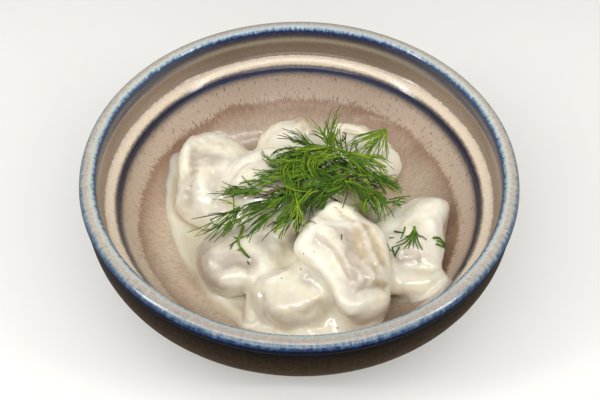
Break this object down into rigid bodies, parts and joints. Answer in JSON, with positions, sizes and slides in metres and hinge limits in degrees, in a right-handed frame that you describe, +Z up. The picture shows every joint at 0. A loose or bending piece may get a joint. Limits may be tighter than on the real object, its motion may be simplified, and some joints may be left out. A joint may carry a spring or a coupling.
{
  "type": "bowl of pelmeni",
  "caption": "Round stoneware bowl with a rolled rim and foot ring, holding plump dumplings in sour cream under a loose heap of dill fronds.",
  "frame": {"origin": "centre of the foot ring, on the surface that the bowl stands on", "axes": "+Z up out of the bowl; +Y towards the back of the serving, +X to its right"},
  "size_m": [0.17, 0.1698, 0.0632],
  "materials": {
    "glazed_stoneware": "glossy reactive glaze, cream and grey-brown with dark blue bands",
    "dough": "boiled dough under a thin coat of sour cream, moist and softly glossy",
    "sour_cream": "thick warm-white cream, smooth and glossy",
    "dill": "fresh green herb, satin, lighter at the tips"
  },
  "bodies": {
    "root": {"bowl": "glazed_stoneware", "pelmen_front_left": "dough", "pelmen_front": "dough", "pelmen_right": "dough", "pelmen_left": "dough", "pelmen_back": "dough", "pelmen_back_right": "dough", "pelmen_middle": "dough", "pelmen_top": "dough", "sour_cream": "sour_cream", "dill": "dill", "dill_bit_fan": "dill", "dill_bit_edge": "dill", "dill_bit_fork": "dill"}
  },
  "joints": []
}
